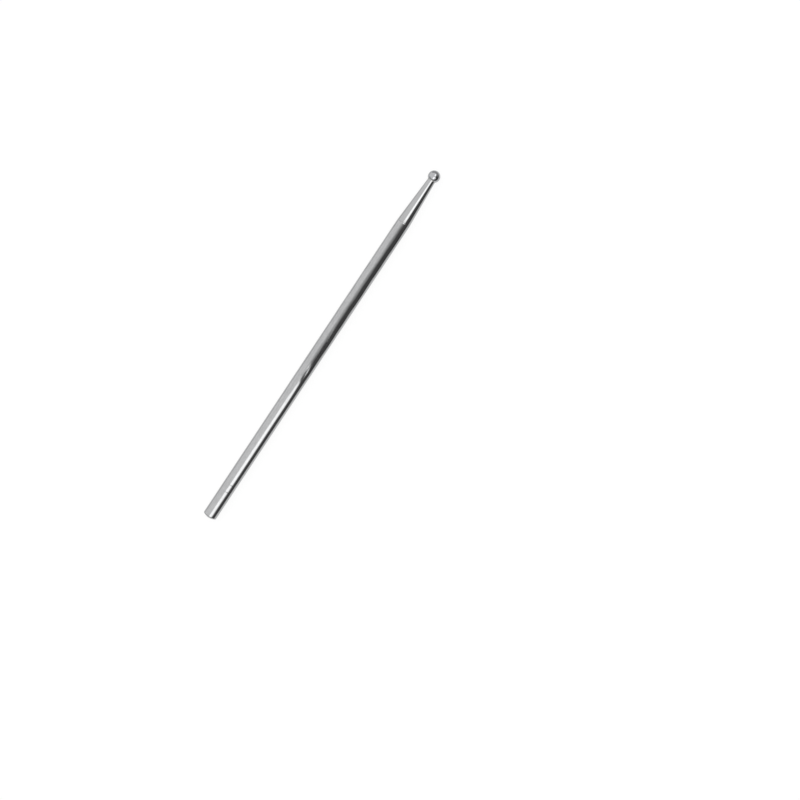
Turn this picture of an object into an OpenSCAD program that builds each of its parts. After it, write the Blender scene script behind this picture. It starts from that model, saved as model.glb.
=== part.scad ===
// Ball-tipped hand stylus: a plain round steel bar, a turned and polished
// conical nose pressed into its front end, and a small steel ball brazed
// into a cupped seat on the nose. It lies along X with the ball towards +X
// and rests on z = 0; the origin is below the middle of its length.

/* [Bar] */
// Diameter of the round bar
bar_d = 5.5; // [4.5:0.1:8]
// Length of the bar, from the top of the domed butt to the nose joint
bar_len = 134.8; // [90:0.1:180]
// Height of the shallow dome on the butt
dome_h = 0.85; // [0.3:0.05:1.2]
// Radius that breaks the edge between the dome and the side of the bar
dome_edge_r = 0.4; // [0.2:0.05:0.6]
// Size of the broken edge at the front of the bar
front_edge = 0.06; // [0.02:0.02:0.2]

/* [Turned rings] */
// Distance of the first hairline ring from the butt
ring_1_x = 12.3; // [6:0.1:20]
// Distance between the two hairline rings
ring_gap = 3.1; // [2:0.1:8]
// Width of each ring at the surface
ring_w = 0.16; // [0.1:0.02:0.5]
// Depth of each ring
ring_depth = 0.04; // [0.02:0.01:0.2]

/* [Nose] */
// Length of the cone, from the nose joint to where its side meets the ball
cone_len = 19.3; // [12:0.1:30]
// Diameter of the neck where the cone meets the ball
neck_d = 3.1; // [2.4:0.1:3.8]
// Diameter of the tang, and of the bore that it is pressed into
tang_d = 3.0; // [2:0.1:3.6]
// Length of the tang behind the joint
tang_len = 10; // [6:0.5:20]
// Chamfer on the end of the tang
tang_chamfer = 0.3; // [0.1:0.1:0.5]
// Room left between the end of the tang and the drilled bottom
tang_room = 1.0; // [0.5:0.5:3]

/* [Ball] */
// Diameter of the ball
ball_d = 4.76; // [4.2:0.02:5.4]
// Thickness of the braze film between the ball and its cupped seat
braze_film = 0.05; // [0.03:0.01:0.1]
// Radius of the braze fillet around the neck
braze_fillet_r = 0.8; // [0.3:0.05:1.0]

/* [Hidden] */
$fn = 96;

bar_r = bar_d / 2;
tang_r = tang_d / 2;
neck_r = neck_d / 2;
ball_r = ball_d / 2;

// Butt: the dome's sphere, and the small circle that is tangent to the
// sphere and to the side of the bar. Profiles are drawn as [radius, axial].
dome_r = (bar_r * bar_r + dome_h * dome_h) / (2 * dome_h);
corner_r = bar_r - dome_edge_r;
corner_x = dome_r - sqrt(pow(dome_r - dome_edge_r, 2) - corner_r * corner_r);

// Sphere of the cupped seat, which leaves room for the braze film
seat_r = ball_r + braze_film;

// Drilled bottom of the bore, 118 degrees
bore_len = tang_len + tang_room;
drill_cone = tang_r / tan(59);

// Cone side and the ball's place on the axis, from the butt
cone_slope = atan((bar_r - neck_r) / cone_len);
ball_x = bar_len + cone_len + sqrt(ball_r * ball_r - neck_r * neck_r);
tool_len = ball_x + ball_r;

// Braze fillet: a circle that wets the cone's side and the ball at a shallow
// angle, found along the cone's side (t) and out from it (n)
wet = 0.01;
ball_t = (ball_x - bar_len) * cos(cone_slope) + bar_r * sin(cone_slope);
ball_n = (ball_x - bar_len) * sin(cone_slope) - bar_r * cos(cone_slope);
fil_n = braze_fillet_r - wet;
fil_t = ball_t - sqrt(pow(ball_r + braze_fillet_r - wet, 2) - pow(fil_n - ball_n, 2));
// [radius, axial] of a point at t along the cone's side and n out from it
function on_side(t, n) = [
    bar_r - t * sin(cone_slope) + n * cos(cone_slope),
    bar_len + t * cos(cone_slope) + n * sin(cone_slope)
];
fil_c = on_side(fil_t, fil_n);

// Turns a [radius, axial] profile about the tool's own axis and lays the
// tool down along +X, resting on z = 0, with its middle over the origin
module lay_down() {
    translate([-tool_len / 2, 0, bar_r]) rotate([0, 90, 0]) children();
}

module bar_profile() {
    polygon([
        [0, corner_x], [bar_r, corner_x], [bar_r, bar_len - front_edge],
        [bar_r - front_edge, bar_len], [0, bar_len]
    ]);
    translate([corner_r, corner_x]) circle(r = dome_edge_r);
    intersection() {
        translate([0, dome_r]) circle(r = dome_r);
        polygon([
            [0, dome_r], [0, -1],
            [corner_r * 1.4, dome_r + (corner_x - dome_r) * 1.4]
        ]);
    }
}

module ring_cut(x) {
    rotate_extrude() polygon([
        [bar_r - ring_depth, x],
        [bar_r + 0.1, x - ring_w / 2 * (1 + 0.1 / ring_depth)],
        [bar_r + 0.1, x + ring_w / 2 * (1 + 0.1 / ring_depth)]
    ]);
}

// Round bar with a domed butt, two hairline rings and a drilled front end
module handle_bar() {
    color([0.71, 0.72, 0.74]) lay_down() difference() {
        rotate_extrude() bar_profile();
        for (i = [0 : 1]) ring_cut(ring_1_x + i * ring_gap);
        rotate_extrude() polygon([
            [0, bar_len - bore_len - drill_cone], [tang_r, bar_len - bore_len],
            [tang_r, bar_len + 1], [0, bar_len + 1]
        ]);
    }
}

// Half section of the cone in front of the joint, with its cupped seat
module cone_profile() {
    difference() {
        polygon([
            [0, bar_len], [bar_r - front_edge, bar_len],
            [bar_r - front_edge * tan(cone_slope), bar_len + front_edge],
            [neck_r, bar_len + cone_len], [0, bar_len + cone_len]
        ]);
        translate([0, ball_x]) circle(r = seat_r);
    }
}

// Polished cone with a rear tang and a cupped seat for the ball
module tapered_nose() {
    color([0.80, 0.81, 0.83]) lay_down() {
        rotate_extrude() cone_profile();
        rotate_extrude() polygon([
            [0, bar_len - tang_len], [tang_r - tang_chamfer, bar_len - tang_len],
            [tang_r, bar_len - tang_len + tang_chamfer],
            [tang_r, bar_len + 1], [0, bar_len + 1]
        ]);
    }
}

// Solid steel ball
module ball_tip() {
    color([0.86, 0.87, 0.89]) lay_down()
        translate([0, 0, ball_x]) sphere(r = ball_r);
}

// Braze: the thin film under the ball and the small fillet around the neck
module ball_braze() {
    color([0.82, 0.80, 0.74]) lay_down() rotate_extrude() difference() {
        polygon([
            [0, ball_x], [0, bar_len + cone_len - 2],
            on_side(fil_t - 1.5, -0.3), on_side(fil_t, -0.1), fil_c
        ]);
        translate([0, ball_x]) circle(r = ball_r);
        translate(fil_c) circle(r = braze_fillet_r);
        cone_profile();
    }
}

handle_bar();
tapered_nose();
ball_tip();
ball_braze();
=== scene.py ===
"""Looks of the ball stylus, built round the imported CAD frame."""
import math
import random

import bpy
import numpy as np
from mathutils import Matrix, Vector


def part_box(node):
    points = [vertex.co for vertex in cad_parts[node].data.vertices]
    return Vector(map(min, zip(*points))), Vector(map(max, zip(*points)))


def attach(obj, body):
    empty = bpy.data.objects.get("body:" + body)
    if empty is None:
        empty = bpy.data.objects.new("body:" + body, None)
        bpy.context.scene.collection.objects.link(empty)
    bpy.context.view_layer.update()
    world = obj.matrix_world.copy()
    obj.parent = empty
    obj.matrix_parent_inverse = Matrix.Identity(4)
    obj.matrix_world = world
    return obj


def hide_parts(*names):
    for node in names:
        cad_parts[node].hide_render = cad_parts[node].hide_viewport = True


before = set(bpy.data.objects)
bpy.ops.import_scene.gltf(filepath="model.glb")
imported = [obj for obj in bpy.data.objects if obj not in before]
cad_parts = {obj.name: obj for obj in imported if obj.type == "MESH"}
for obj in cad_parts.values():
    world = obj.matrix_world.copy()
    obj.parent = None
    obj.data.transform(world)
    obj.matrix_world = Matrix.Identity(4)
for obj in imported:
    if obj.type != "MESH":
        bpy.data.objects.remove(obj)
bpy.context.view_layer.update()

MM = 0.001

# ---------------------------------------------------------------- sizes, from the CAD frame
bar_lo, bar_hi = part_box("handle_bar")
nose_lo, nose_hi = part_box("tapered_nose")
ball_lo, ball_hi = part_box("ball_tip")
braze_lo, braze_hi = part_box("ball_braze")

BAR_R = (bar_hi.z - bar_lo.z) / 2 / MM          # everything below is in mm
AXIS_Z = (bar_hi.z + bar_lo.z) / 2 / MM
X0 = bar_lo.x / MM                              # butt
SEAM = bar_hi.x / MM                            # joint between bar and nose
BALL_R = (ball_hi.x - ball_lo.x) / 2 / MM
BALL_X = (ball_hi.x + ball_lo.x) / 2 / MM
TANG_END = nose_lo.x / MM
CONE_END = nose_hi.x / MM                       # rim of the cupped seat
SKIN = 0.031                                    # the looks stay this far inside the CAD surface
DOME_H, DOME_EDGE = 0.85, 0.4
RING_1, RING_GAP, RING_W, RING_D = 12.3, 3.1, 0.16, 0.025
TANG_R, TANG_ROOM, TANG_CH = 1.5, 1.0, 0.3
NECK_R, CONE_LEN = 1.55, 19.3
FILM, FILLET_R = 0.05, 0.8

# ---------------------------------------------------------------- camera
cam_data = bpy.data.cameras.new("camera")
cam = bpy.data.objects.new("camera", cam_data)
bpy.context.scene.collection.objects.link(cam)
bpy.context.scene.camera = cam
cam_data.sensor_width = 36
cam_data.lens = 93.968
cam_data.clip_start, cam_data.clip_end = 0.02, 20
CAM_FROM_BALL = Vector((-47.749, -238.765, 759.621))
cam_right = Vector((0.5528871, -0.7998141, -0.2336926))
cam_up = Vector((0.8323959, 0.542891, 0.1112942))
cam_back = Vector((0.0378547, -0.2560577, 0.9659197))
rot = Matrix((
    (cam_right.x, cam_up.x, cam_back.x),
    (cam_right.y, cam_up.y, cam_back.y),
    (cam_right.z, cam_up.z, cam_back.z),
))
cam.matrix_world = Matrix.Translation(
    (Vector((BALL_X, 0, AXIS_Z)) + CAM_FROM_BALL) * MM
) @ rot.to_4x4()


# ---------------------------------------------------------------- turned meshes
def lathe(name, profile, segments, wobble=None):
    """A closed solid of revolution about the tool's axis. profile is [(x, r), ...] in mm, from one
    point on the axis to the other, so that the solid is on its right as it goes. wobble(x, r, angle)
    gives a small change of radius, in mm."""
    ang = np.arange(segments) * (2 * math.pi / segments)
    verts, rows = [], []
    for x, r in profile:
        if r < 1e-9:
            rows.append([len(verts)])
            verts.append((x * MM, 0.0, AXIS_Z * MM))
            continue
        rr = np.full(segments, r)
        if wobble is not None:
            rr = rr + wobble(x, r, ang)
        rows.append(list(range(len(verts), len(verts) + segments)))
        for a, q in zip(ang, rr):
            verts.append((x * MM, q * math.sin(a) * MM, (AXIS_Z + q * math.cos(a)) * MM))
    faces = []
    for p, q in zip(rows, rows[1:]):
        if len(p) == 1 and len(q) == 1:
            continue
        for i in range(segments):
            j = (i + 1) % segments
            if len(p) == 1:
                faces.append((p[0], q[i], q[j]))
            elif len(q) == 1:
                faces.append((p[i], q[0], p[j]))
            else:
                faces.append((p[i], q[i], q[j], p[j]))
    mesh = bpy.data.meshes.new(name)
    mesh.from_pydata(verts, [], faces)
    mesh.validate()
    obj = bpy.data.objects.new(name, mesh)
    bpy.context.scene.collection.objects.link(obj)
    return obj


def outward(obj):
    """Turns the faces outward, and smooths the surface but not its real edges."""
    import bmesh
    bm = bmesh.new()
    bm.from_mesh(obj.data)
    bmesh.ops.recalc_face_normals(bm, faces=bm.faces)
    for f in bm.faces:
        f.smooth = True
    for e in bm.edges:
        if len(e.link_faces) == 2 and e.calc_face_angle(0.0) > math.radians(32):
            e.smooth = False
    bm.to_mesh(obj.data)
    bm.free()
    return obj


def arc(cx, cr, rad, a0, a1, n):
    """Points on an arc about (cx, cr); angles in degrees, 0 along +x and 90 outward."""
    out = []
    for i in range(n + 1):
        a = math.radians(a0 + (a1 - a0) * i / n)
        out.append((cx + rad * math.cos(a), cr + rad * math.sin(a)))
    return out


def spread(a, b, step):
    n = max(1, int(round(abs(b - a) / step)))
    return [a + (b - a) * i / n for i in range(1, n)]


# --- handle bar: dome, rounded edge, side with two cut rings, rounded front edge, bore
DOME_R = (BAR_R ** 2 + DOME_H ** 2) / (2 * DOME_H)
cr_, ce = BAR_R - DOME_EDGE, DOME_EDGE
cx_ = DOME_R - math.sqrt((DOME_R - ce) ** 2 - cr_ ** 2)
dome_half = math.degrees(math.atan2(cr_, DOME_R - cx_))
prof = [(X0, 0.0)]
prof += arc(X0 + DOME_R, 0, DOME_R, 180, 180 - dome_half, 26)[1:]
prof += arc(X0 + cx_, cr_, ce, 180 - dome_half, 90, 10)[1:]


def ring(x, w, d):
    """A cut ring with softened lips and a small rounded bottom."""
    out = []
    for k in range(-9, 10):
        u = k / 9 * w * 0.6
        t = 1 - abs(u) / (w * 0.6)
        out.append((x + u, BAR_R - d * t * t * (3 - 2 * t)))
    return out


side_x = X0 + cx_
for rx in (X0 + RING_1, X0 + RING_1 + RING_GAP):
    cut = ring(rx, RING_W, RING_D)
    prof += [(x, BAR_R) for x in spread(side_x, cut[0][0], 0.5)]
    prof += cut
    side_x = cut[-1][0]
prof += [(x, BAR_R) for x in spread(side_x, SEAM - 0.12, 0.36)]
EDGE = 0.07
prof += arc(SEAM - EDGE, BAR_R - EDGE, EDGE, 90, 0, 6)
bore_bottom = TANG_END - TANG_ROOM
prof += [(SEAM, TANG_R + 0.08), (SEAM - 0.08, TANG_R)]
prof += [(x, TANG_R) for x in spread(SEAM - 0.08, bore_bottom, 1.0)]
prof += [(bore_bottom, TANG_R), (bore_bottom - TANG_R / math.tan(math.radians(59)), 0.0)]

rng = random.Random(7)
waves = []
for _ in range(90):
    k = rng.randint(4, 16)
    lam = rng.uniform(8, 28)
    waves.append((k, rng.choice([-1, 1]) * 2 * math.pi / lam, rng.uniform(0, 2 * math.pi), rng.uniform(0.5, 1.0) / k))


def bar_wobble(x, r, ang):
    """Hand finishing leaves the side of the bar very slightly uneven, more so towards the front."""
    if r < BAR_R - 0.3 and x > X0 + 3:
        return np.zeros_like(ang)
    if x < X0 + 1.2:
        return np.full_like(ang, -SKIN * r / BAR_R)
    d = np.zeros_like(ang)
    for k, kx, ph, a in waves:
        d += a * np.sin(k * ang + kx * x + ph)
    t = min(1.0, max(0.0, (x - X0 - 40) / 42))
    amp = 0.0014 + 0.0160 * t * t * (3 - 2 * t)
    fade = min(1.0, (x - X0 - 1.2) / 2.0) * min(1.0, max(0.0, (SEAM - x) / 2.4))
    end = max(0.0, 1 - (SEAM - x) / 3.6)
    return 0.016 * np.tanh(d * amp * fade / 0.016) - SKIN - 0.020 * end * end


bar = outward(lathe("handle_bar_turned", prof, 208, bar_wobble))

# --- tapered nose: tang, joint face, edge, cone, cupped seat
slope = math.atan((BAR_R - NECK_R) / CONE_LEN)
prof = [(TANG_END, 0.0), (TANG_END, TANG_R - TANG_CH - 0.1), (TANG_END, TANG_R - TANG_CH),
        (TANG_END + TANG_CH, TANG_R - 0.001)]
prof += [(x, TANG_R - 0.001) for x in spread(TANG_END + TANG_CH, SEAM, 1.0)]
prof += [(SEAM, TANG_R - 0.001)]
prof += arc(SEAM + EDGE, BAR_R - SKIN - 0.020 - EDGE, EDGE, 180, 90, 6)
seat_r = BALL_R + FILM


def cone_r(x):
    return BAR_R - (x - SEAM) * math.tan(slope)


def nose_side(x):
    """The cone's side, eased into the joint over the first 1.6 mm."""
    u = x - SEAM
    ease = 1.6
    line = cone_r(x)
    if u < ease:
        line -= 0.012 * (1 - u / ease) ** 2
    return line


side = [(x, nose_side(x)) for x in spread(SEAM + EDGE, CONE_END, 0.16) if x < CONE_END - 0.02]
side = [(x, min(r, BAR_R) - (SKIN + 0.008) * max(0.0, 1 - (x - SEAM) / 12)) for x, r in side]
prof += side
prof += [(CONE_END, cone_r(CONE_END))]
seat_half = math.degrees(math.atan2(cone_r(CONE_END), BALL_X - CONE_END))
prof += arc(BALL_X, 0, seat_r, 180 - seat_half, 180, 18)[1:-1]
prof += [(BALL_X - seat_r, 0.0)]
nose = outward(lathe("tapered_nose_turned", prof, 176))

# --- ball: a fine sphere whose poles lie on the tool's axis
prof = [(BALL_X - BALL_R, 0.0)] + arc(BALL_X, 0, BALL_R, 180, 0, 96)[1:-1] + [(BALL_X + BALL_R, 0.0)]
ball = outward(lathe("ball_tip_turned", prof, 160))

# --- braze: the film in the seat, and a fillet
wet = 0.01
bt = (BALL_X - SEAM) * math.cos(slope) + BAR_R * math.sin(slope)
bn = (BALL_X - SEAM) * math.sin(slope) - BAR_R * math.cos(slope)
fn = FILLET_R - wet
ft = bt - math.sqrt((BALL_R + FILLET_R - wet) ** 2 - (fn - bn) ** 2)
fcx = SEAM + ft * math.cos(slope) + fn * math.sin(slope)
fcr = BAR_R - ft * math.sin(slope) + fn * math.cos(slope)
to_ball = math.degrees(math.atan2(-fcr, BALL_X - fcx))
to_cone = -90 - math.degrees(slope)
half_cone = math.degrees(math.acos((FILLET_R - wet) / FILLET_R))
fil = arc(fcx, fcr, FILLET_R, to_cone + half_cone, to_ball - half_cone, 16)
# from the ball's back pole, over the film's inner face, the fillet, the cone's rim, and back
touch = math.degrees(math.atan2(fil[-1][1], fil[-1][0] - BALL_X))
prof = [(BALL_X - BALL_R, 0.0)] + arc(BALL_X, 0, BALL_R, 180, touch, 30)[1:-1]
prof += fil[::-1]
prof += [(CONE_END, cone_r(CONE_END))]
prof += arc(BALL_X, 0, seat_r, 180 - seat_half, 180, 18)[1:-1]
prof += [(BALL_X - seat_r, 0.0)]
braze = outward(lathe("ball_braze_fillet", prof, 128))


# ---------------------------------------------------------------- node helpers
class Nodes:
    """Short names for building a node tree."""

    def __init__(self, tree):
        self.t = tree

    def new(self, kind, **props):
        n = self.t.nodes.new(kind)
        for k, v in props.items():
            setattr(n, k, v)
        return n

    def put(self, socket, value):
        if hasattr(value, "is_output") or isinstance(value, bpy.types.NodeSocket):
            self.t.links.new(value, socket)
        else:
            socket.default_value = value

    def math(self, op, a, b=None, c=None, clamp=False):
        n = self.new("ShaderNodeMath", operation=op, use_clamp=clamp)
        for s, v in zip(n.inputs, (a, b, c)):
            if v is not None:
                self.put(s, v)
        return n.outputs[0]

    def step(self, x, a, b, lo=0.0, hi=1.0):
        n = self.new("ShaderNodeMapRange", interpolation_type="SMOOTHSTEP", clamp=True)
        self.put(n.inputs["Value"], x)
        n.inputs["From Min"].default_value = min(a, b)
        n.inputs["From Max"].default_value = max(a, b)
        n.inputs["To Min"].default_value = lo if a < b else hi
        n.inputs["To Max"].default_value = hi if a < b else lo
        return n.outputs["Result"]

    def band(self, x, a0, a1, b0, b1):
        return self.math("MULTIPLY", self.step(x, a0, a1), self.step(x, b1, b0))

    def mix(self, f, a, b):
        n = self.new("ShaderNodeMix", data_type="FLOAT")
        self.put(n.inputs[0], f)
        self.put(n.inputs[2], a)
        self.put(n.inputs[3], b)
        return n.outputs[0]

    def noise(self, vector, scale, detail=2.0, rough=0.5, kind="3D"):
        n = self.new("ShaderNodeTexNoise", noise_dimensions=kind)
        self.put(n.inputs["Vector"], vector)
        n.inputs["Scale"].default_value = scale
        n.inputs["Detail"].default_value = detail
        n.inputs["Roughness"].default_value = rough
        return n.outputs["Fac"]

    def scaled(self, vector, sx, sy, sz, off=(0, 0, 0)):
        n = self.new("ShaderNodeMapping")
        self.put(n.inputs["Vector"], vector)
        n.inputs["Scale"].default_value = (sx, sy, sz)
        n.inputs["Location"].default_value = off
        return n.outputs["Vector"]


def fresh(name):
    mat = bpy.data.materials.new(name)
    mat.use_nodes = True
    mat.node_tree.nodes.clear()
    k = Nodes(mat.node_tree)
    out = k.new("ShaderNodeOutputMaterial")
    bsdf = k.new("ShaderNodeBsdfPrincipled")
    k.t.links.new(bsdf.outputs[0], out.inputs["Surface"])
    bsdf.inputs["Metallic"].default_value = 1.0
    coord = k.new("ShaderNodeTexCoord").outputs["Object"]
    return mat, k, bsdf, coord


def tinted(k, f, dark, light):
    n = k.new("ShaderNodeMix", data_type="RGBA")
    k.put(n.inputs[0], f)
    n.inputs[6].default_value = (*dark, 1)
    n.inputs[7].default_value = (*light, 1)
    return n.outputs[2]


def bump(k, height, distance, strength=1.0, normal=None):
    n = k.new("ShaderNodeBump")
    n.inputs["Strength"].default_value = strength
    n.inputs["Distance"].default_value = distance
    k.put(n.inputs["Height"], height)
    if normal is not None:
        k.put(n.inputs["Normal"], normal)
    return n.outputs["Normal"]


# ---------------------------------------------------------------- satin bar
def satin_bar():
    mat, k, bsdf, co = fresh("satin_bar_steel")
    fine = k.noise(k.scaled(co, 60, 9000, 9000), 1.0, 3.0, 0.6)
    hair = k.noise(k.scaled(co, 22, 3800, 3800, (3, 7, 1)), 1.0, 2.0, 0.55)
    wide = k.noise(k.scaled(co, 60, 900, 900, (9, 2, 5)), 1.0, 2.0, 0.5)
    patch = k.noise(k.scaled(co, 90, 330, 330, (1, 4, 8)), 1.0, 3.0, 0.6)
    mottle = k.noise(k.scaled(co, 480, 1050, 1050, (6, 3, 9)), 1.0, 3.0, 0.6)
    rough = k.math("ADD", k.math("MULTIPLY", fine, 0.012), k.math("MULTIPLY", k.step(patch, 0.42, 0.68), 0.026))
    rough = k.math("ADD", rough, k.math("MULTIPLY", k.step(wide, 0.45, 0.75), 0.012))
    rough = k.math("ADD", rough, 0.036)
    k.put(bsdf.inputs["Roughness"], rough)
    tone = k.math("ADD", k.math("MULTIPLY", hair, 0.35), k.math("MULTIPLY", mottle, 0.45))
    tone = k.math("ADD", tone, k.math("MULTIPLY", patch, 0.20))
    grain = k.noise(k.scaled(co, 1500, 2400, 2400, (2, 8, 4)), 1.0, 2.0, 0.6)
    tone = k.math("ADD", k.step(tone, 0.38, 0.62), k.math("MULTIPLY", k.step(grain, 0.30, 0.70), 0.9))
    k.put(bsdf.inputs["Base Color"], tinted(k, k.math("MULTIPLY", tone, 1 / 1.9), (0.496, 0.499, 0.505), (0.622, 0.625, 0.632)))
    h = k.math("ADD", k.math("MULTIPLY", fine, 0.35), k.math("MULTIPLY", hair, 1.0))
    n1 = bump(k, h, 0.0000012)
    n2 = bump(k, wide, 0.000005, 1.0, n1)
    k.put(bsdf.inputs["Normal"], n2)
    bsdf.inputs["Anisotropic"].default_value = 0.85
    tan = k.new("ShaderNodeTangent", direction_type="RADIAL", axis="X")
    k.t.links.new(tan.outputs[0], bsdf.inputs["Tangent"])
    return mat


# ---------------------------------------------------------------- polished nose
def polished_nose():
    mat, k, bsdf, co = fresh("polished_nose_steel")
    turned = k.noise(k.scaled(co, 14000, 120, 120), 1.0, 2.0, 0.5)
    hair = k.noise(k.scaled(co, 90, 7000, 7000, (2, 5, 3)), 1.0, 2.0, 0.6)
    cloud = k.noise(k.scaled(co, 260, 420, 420, (7, 1, 2)), 1.0, 3.0, 0.55)
    rough = k.math("ADD", k.math("MULTIPLY", turned, 0.03), k.math("MULTIPLY", k.step(cloud, 0.4, 0.7), 0.04))
    rough = k.math("ADD", rough, 0.055)
    k.put(bsdf.inputs["Roughness"], rough)
    k.put(bsdf.inputs["Base Color"], tinted(k, cloud, (0.515, 0.518, 0.523), (0.590, 0.593, 0.598)))
    h = k.math("ADD", k.math("MULTIPLY", turned, 0.6), k.math("MULTIPLY", hair, 0.4))
    k.put(bsdf.inputs["Normal"], bump(k, h, 0.000004))
    return mat


# ---------------------------------------------------------------- mirror ball
def mirror_ball():
    mat, k, bsdf, co = fresh("mirror_ball_steel")
    cloud = k.noise(k.scaled(co, 600, 600, 600, (4, 1, 6)), 1.0, 3.0, 0.55)
    scr = k.noise(k.scaled(co, 300, 6000, 6000, (1, 1, 1)), 1.0, 2.0, 0.6)
    rough = k.math("ADD", k.math("MULTIPLY", k.step(cloud, 0.4, 0.7), 0.04), 0.045)
    k.put(bsdf.inputs["Roughness"], rough)
    k.put(bsdf.inputs["Base Color"], tinted(k, cloud, (0.54, 0.545, 0.56), (0.58, 0.585, 0.60)))
    k.put(bsdf.inputs["Normal"], bump(k, scr, 0.0000015))
    return mat


# ---------------------------------------------------------------- braze
def silver_braze():
    mat, k, bsdf, co = fresh("silver_braze")
    grain = k.noise(k.scaled(co, 5000, 5000, 5000), 1.0, 3.0, 0.6)
    cloud = k.noise(k.scaled(co, 900, 900, 900, (5, 2, 2)), 1.0, 2.0, 0.5)
    k.put(bsdf.inputs["Roughness"], k.math("ADD", k.math("MULTIPLY", cloud, 0.12), 0.16))
    k.put(bsdf.inputs["Base Color"], tinted(k, cloud, (0.50, 0.495, 0.482), (0.60, 0.595, 0.582)))
    k.put(bsdf.inputs["Normal"], bump(k, grain, 0.00001))
    return mat


for obj, mat, node, slot in (
    (bar, satin_bar(), "handle_bar", "satin_bar_steel"),
    (nose, polished_nose(), "tapered_nose", "polished_nose_steel"),
    (ball, mirror_ball(), "ball_tip", "mirror_ball_steel"),
    (braze, silver_braze(), "ball_braze", "silver_braze"),
):
    obj.data.materials.append(mat)
    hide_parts(node)
    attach(obj, "root")

# ---------------------------------------------------------------- floor
bpy.ops.mesh.primitive_plane_add(size=6, location=(0, 0, 0))
floor = bpy.context.object
floor.name = "floor"
mat = bpy.data.materials.new("floor")
mat.use_nodes = True
mat.node_tree.nodes.clear()
k = Nodes(mat.node_tree)
out = k.new("ShaderNodeOutputMaterial")
dif = k.new("ShaderNodeBsdfDiffuse")
dif.inputs["Color"].default_value = (0.16, 0.16, 0.16, 1)
em = k.new("ShaderNodeEmission")
em.inputs["Color"].default_value = (1, 1, 1, 1)
em.inputs["Strength"].default_value = 0.88
add = k.new("ShaderNodeAddShader")
k.t.links.new(dif.outputs[0], add.inputs[0])
k.t.links.new(em.outputs[0], add.inputs[1])
# painted reflection: to glossy rays only, the pale floor glows brightest beside the tool, dimmer all round, and dark
# out in front
sep = k.new("ShaderNodeSeparateXYZ")
k.t.links.new(k.new("ShaderNodeNewGeometry").outputs["Position"], sep.inputs[0])
glossy_painted_reflection = k.new("ShaderNodeEmission")
pale = k.math("MINIMUM", k.step(sep.outputs[1], 0.010, 0.070, 0.76, 0.35),
              k.step(k.math("ABSOLUTE", sep.outputs[0]), 0.080, 0.100, 0.76, 0.35))
k.put(glossy_painted_reflection.inputs["Strength"], k.mix(k.step(sep.outputs[1], -0.017, -0.006), 0.05, pale))
# glossy rays get the painted reflection above, all other rays the plain pale floor
pick = k.new("ShaderNodeMixShader")
k.t.links.new(k.new("ShaderNodeLightPath").outputs["Is Glossy Ray"], pick.inputs[0])
k.t.links.new(add.outputs[0], pick.inputs[1])
k.t.links.new(glossy_painted_reflection.outputs[0], pick.inputs[2])
k.t.links.new(pick.outputs[0], out.inputs["Surface"])
floor.data.materials.append(mat)

# ---------------------------------------------------------------- studio light
world = bpy.data.worlds.new("studio")
bpy.context.scene.world = world
world.use_nodes = True
world.node_tree.nodes.clear()
k = Nodes(world.node_tree)
out = k.new("ShaderNodeOutputWorld")
bg = k.new("ShaderNodeBackground")
bg.inputs["Color"].default_value = (1, 1, 1, 1)
k.t.links.new(bg.outputs[0], out.inputs["Surface"])
sep = k.new("ShaderNodeSeparateXYZ")
k.t.links.new(k.new("ShaderNodeTexCoord").outputs["Generated"], sep.inputs[0])
dx, dy, dz = sep.outputs
# lean: degrees from straight up towards -Y
lean = k.math("MULTIPLY", k.math("ARCTAN2", k.math("MULTIPLY", dy, -1.0), dz), 180 / math.pi)


def box(k, x0, x1, soft_x, a0, a1, soft_a):
    """A soft box: 1 inside x0..x1 along X and a0..a1 degrees of lean, fading over its soft edges."""
    return k.math("MULTIPLY", k.band(dx, x0 - soft_x, x0 + soft_x, x1 - soft_x, x1 + soft_x),
                  k.band(lean, a0 - soft_a, a0 + soft_a, a1 - soft_a, a1 + soft_a))


# a pale room with four soft boxes of even brightness over the tool
value = 0.86
for x0, x1, soft_x, a0, a1, soft_a, power in (
    (-0.82, -0.40, 0.05, 14, 41, 5, 1.9),
    (-0.40, -0.055, 0.02, 12, 50, 6, 1.65),
    (0.13, 0.205, 0.015, 8, 38, 5, 1.95),
    (0.38, 0.75, 0.05, 13, 33, 5, 2.1),
):
    value = k.mix(box(k, x0, x1, soft_x, a0, a1, soft_a), value, power)
# dim gap between the boxes, darker lower down
value = k.mix(box(k, -0.054, 0.070, 0.004, -10, 200, 10), value, k.step(lean, -25, 62, 0.80, 0.04))
# dark room low down behind the camera, with a slanting upper edge
start = k.step(dx, -0.14, 0.15, 62, 45)
low = k.math("MULTIPLY", k.step(k.math("SUBTRACT", lean, start), -7, 7), k.step(lean, 130, 100))
low = k.math("MULTIPLY", low, k.band(dx, -0.95, -0.7, 0.7, 0.95))
value = k.mix(low, value, 0.08)
# dimmer towards both ends, near the floor
ends = k.math("MULTIPLY", k.step(k.math("ABSOLUTE", dx), 0.40, 0.62), k.step(dz, 0.60, 0.35))
value = k.mix(k.math("MULTIPLY", ends, 0.8), value, 0.28)
# the camera itself sees plain white past the floor's edge
path = k.new("ShaderNodeLightPath")
value = k.mix(path.outputs["Is Camera Ray"], value, 1.0)
k.t.links.new(value, bg.inputs["Strength"])

bpy.context.scene.view_settings.view_transform = "Standard"
